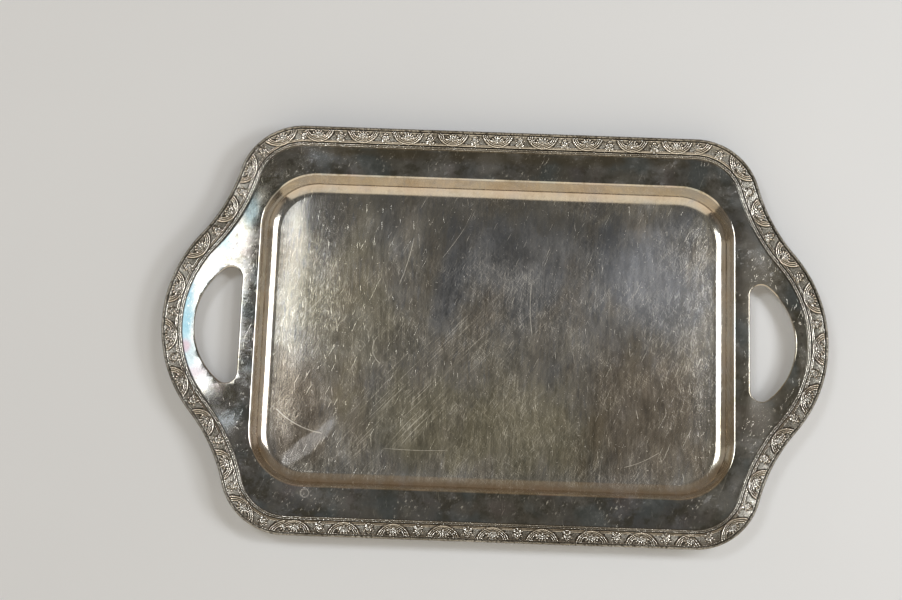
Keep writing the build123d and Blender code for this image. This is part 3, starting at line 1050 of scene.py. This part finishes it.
def pale_ground():
    """A plain pale floor with a faint mottle."""
    paint = Paint("pale_ground")
    colour = paint.mix(paint.noise(0.25, 3.0, 0.5), GROUND_DARK, GROUND_PALE)
    material = paint.finish(colour, 0.9, metallic=0.0)
    bpy.ops.mesh.primitive_plane_add(size=GROUND_SIZE)
    ground = bpy.context.object
    ground.name = "ground"
    ground.data.materials.append(material)


def panel(name, place, size, radiance, colour, turn=0.0):
    """A soft rectangular light that faces straight down, as bright at any size."""
    data = bpy.data.lights.new(name, "AREA")
    data.shape = "RECTANGLE"
    data.size, data.size_y = size
    data.energy = radiance * 4 * size[0] * size[1]
    data.color = colour
    lamp = bpy.data.objects.new(name, data)
    bpy.context.scene.collection.objects.link(lamp)
    lamp.location = place
    lamp.rotation_euler = (0, 0, math.radians(turn))
    lamp.visible_camera = False
    return lamp


# Colours of the room that the plate mirrors, by direction.
OVERHEAD = (0.086, 0.083, 0.077)
SIDES = (0.37, 0.325, 0.265)
SIDES_DIM = (0.19, 0.165, 0.135)
LOW_DOWN = (1.28, 1.33, 1.38)
LOW_ASIDE = (0.56, 0.53, 0.48)
BEHIND = (0.20, 0.155, 0.11)
IN_FRONT = (0.92, 0.80, 0.64)
BESIDE_TABLE = (0.13, 0.11, 0.09)


def studio_world():
    """A dim room: dark overhead and behind, pale low down, a warm table edge in front."""
    world = bpy.data.worlds.new("studio")
    bpy.context.scene.world = world
    world.use_nodes = True
    sky = Nodes(world.node_tree)
    place = sky.node("ShaderNodeTexCoord").outputs["Generated"]
    x, y, z = sky.node("ShaderNodeSeparateXYZ", {0: place}).outputs
    aside = sky.math("ABSOLUTE", x)
    far_aside = sky.steps(aside, 0.60, 0.74)
    left = sky.steps(x, 0.1, -0.1)
    right = sky.math("SUBTRACT", 1.0, left)
    lit_left = sky.times(left, sky.steps(y, 0.12, 0.18))
    lit_right = sky.times(right, sky.steps(y, 0.25, 0.18))
    colour = sky.mix(sky.add(lit_left, lit_right), SIDES_DIM, SIDES)
    colour = sky.mix(sky.steps(z, 0.80, 0.90), colour, OVERHEAD)

    low_left = sky.times(left, far_aside, sky.steps(y, 0.18, 0.12))
    low_down = sky.mix(low_left, sky.mix(far_aside, LOW_DOWN, LOW_ASIDE), SIDES_DIM)
    colour = sky.mix(sky.steps(z, 0.56, 0.46), colour, low_down)

    band = sky.times(sky.steps(z, 0.93, 0.85), sky.steps(z, -0.05, 0.08))
    colour = sky.mix(sky.times(sky.steps(y, 0.35, 0.45), band), colour, BEHIND)
    band = sky.times(sky.steps(z, 0.90, 0.84), sky.steps(z, 0.45, 0.52))
    colour = sky.mix(sky.times(sky.steps(y, -0.20, -0.32), band), colour, BESIDE_TABLE)
    narrow = sky.steps(sky.add(sky.times(aside, 0.76), y), 0.01, -0.02)
    colour = sky.mix(sky.times(sky.steps(y, -0.18, -0.22), narrow), colour, IN_FRONT)
    sky.feed(sky.tree.nodes["Background"].inputs["Color"], colour)


pale_ground()
studio_world()
panel("window_left", (-0.700, 0.452, 1.9), (0.46, 0.40), 2.2, (0.96, 0.985, 1.0), -11.0)
panel("softbox_left", (-1.65, 0.8, 4.0), (1.1, 0.85), 6.5, (0.97, 0.99, 1.0))
panel("softbox_right", (2.05, 0.85, 4.0), (1.2, 0.9), 8.0, (1.0, 0.995, 0.99))
key = panel("key_right", (1.5, -0.1, 1.6), (0.7, 0.7), 8.0, (0.98, 0.99, 1.0))
key.visible_glossy = False  # it gives the shadow, and would glare in the plate

# The camera looks down on the tray from a little in front, as far off as the view needs.
CAMERA_PLACE = (-0.0354, -0.2564, 1.3853)
CAMERA_TURN = (11.73, -0.31, 2.00)
CAMERA_LENS = 65.85  # millimetres
camera_data = bpy.data.cameras.new("camera")
camera_data.sensor_width = 36
camera_data.lens = CAMERA_LENS
camera = bpy.data.objects.new("camera", camera_data)
bpy.context.scene.collection.objects.link(camera)
camera.location = CAMERA_PLACE
camera.rotation_euler = [math.radians(turn) for turn in CAMERA_TURN]
bpy.context.scene.camera = camera
bpy.context.scene.view_settings.view_transform = "Standard"
